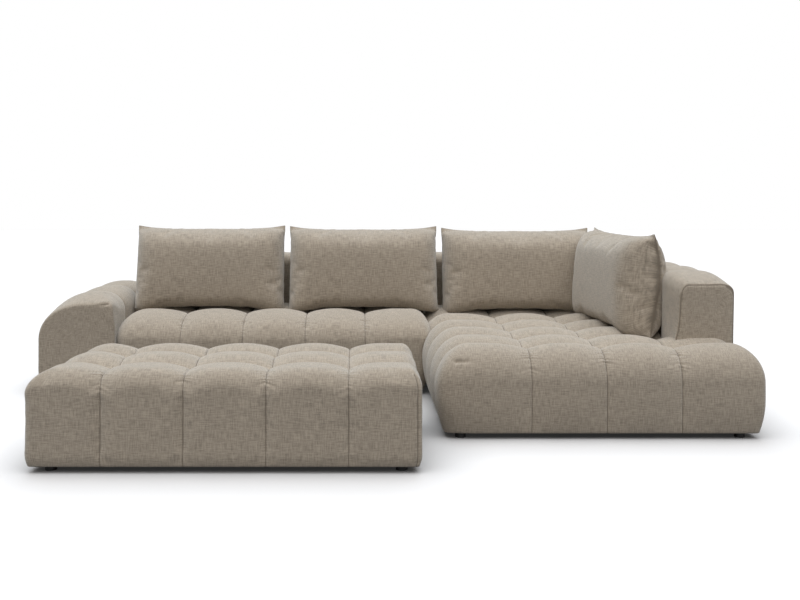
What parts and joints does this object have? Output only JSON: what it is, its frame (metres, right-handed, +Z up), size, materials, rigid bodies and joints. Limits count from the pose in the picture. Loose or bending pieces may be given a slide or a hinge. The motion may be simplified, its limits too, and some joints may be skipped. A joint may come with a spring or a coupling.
{
  "type": "corner sofa",
  "caption": "Corner sofa in tufted fabric: a bench with one arm, a chaise with a side backrest, loose back cushions and a matching ottoman.",
  "frame": {"origin": "on the floor, under the middle of the whole group's box, ottoman included", "axes": "+X to the right as seen from the front, +Y towards the back of the sofa, +Z up"},
  "size_m": [3.42, 2.37, 0.8666],
  "materials": {
    "upholstery": "matte",
    "foam": "matte",
    "fibre_filling": "matte",
    "timber": "matte",
    "webbing": "matte",
    "underlining": "matte",
    "foot_plastic": "satin",
    "zip": "satin",
    "zinc_steel": "satin"
  },
  "bodies": {
    "sofa": {"arm_cover": "upholstery", "arm_foam": "foam", "arm_frame": "timber", "arm_bolts": "zinc_steel", "bench_cover": "upholstery", "bench_foam": "foam", "bench_webbing": "webbing", "bench_frame": "timber", "bench_underlining": "underlining", "bench_feet": "foot_plastic", "bench_foot_studs": "zinc_steel", "bench_back_cover": "upholstery", "bench_back_foam": "foam", "bench_back_frame": "timber", "bench_back_bolts": "zinc_steel", "chaise_cover": "upholstery", "chaise_foam": "foam", "chaise_webbing": "webbing", "chaise_frame": "timber", "chaise_underlining": "underlining", "chaise_feet": "foot_plastic", "chaise_foot_studs": "zinc_steel", "corner_back_cover": "upholstery", "corner_back_foam": "foam", "corner_back_frame": "timber", "corner_back_bolts": "zinc_steel", "side_back_cover": "upholstery", "side_back_foam": "foam", "side_back_frame": "timber", "side_back_bolts": "zinc_steel", "joining_plates": "zinc_steel", "joining_bolts": "zinc_steel"},
    "ottoman": {"ottoman_cover": "upholstery", "ottoman_foam": "foam", "ottoman_webbing": "webbing", "ottoman_frame": "timber", "ottoman_underlining": "underlining", "ottoman_feet": "foot_plastic", "ottoman_foot_studs": "zinc_steel"},
    "left_cushion": {"left_cushion_cover": "upholstery", "left_cushion_filling": "fibre_filling", "left_cushion_zip": "zip"},
    "middle_cushion": {"middle_cushion_cover": "upholstery", "middle_cushion_filling": "fibre_filling", "middle_cushion_zip": "zip"},
    "right_cushion": {"right_cushion_cover": "upholstery", "right_cushion_filling": "fibre_filling", "right_cushion_zip": "zip"},
    "side_cushion": {"side_cushion_cover": "upholstery", "side_cushion_filling": "fibre_filling", "side_cushion_zip": "zip"}
  },
  "joints": [
    {"name": "ottoman_slide", "type": "slide", "parent": "sofa", "child": "ottoman", "axis": [0, 1, 0], "range_m": [-0.5, 0.6]},
    {"name": "left_cushion_lift", "type": "slide", "parent": "sofa", "child": "left_cushion", "axis": [0, 0, 1], "range_m": [0, 0.5]},
    {"name": "middle_cushion_lift", "type": "slide", "parent": "sofa", "child": "middle_cushion", "axis": [0, 0, 1], "range_m": [0, 0.5]},
    {"name": "right_cushion_lift", "type": "slide", "parent": "sofa", "child": "right_cushion", "axis": [0, 0, 1], "range_m": [0, 0.5]},
    {"name": "side_cushion_lift", "type": "slide", "parent": "sofa", "child": "side_cushion", "axis": [0, 0, 1], "range_m": [0, 0.5]}
  ]
}
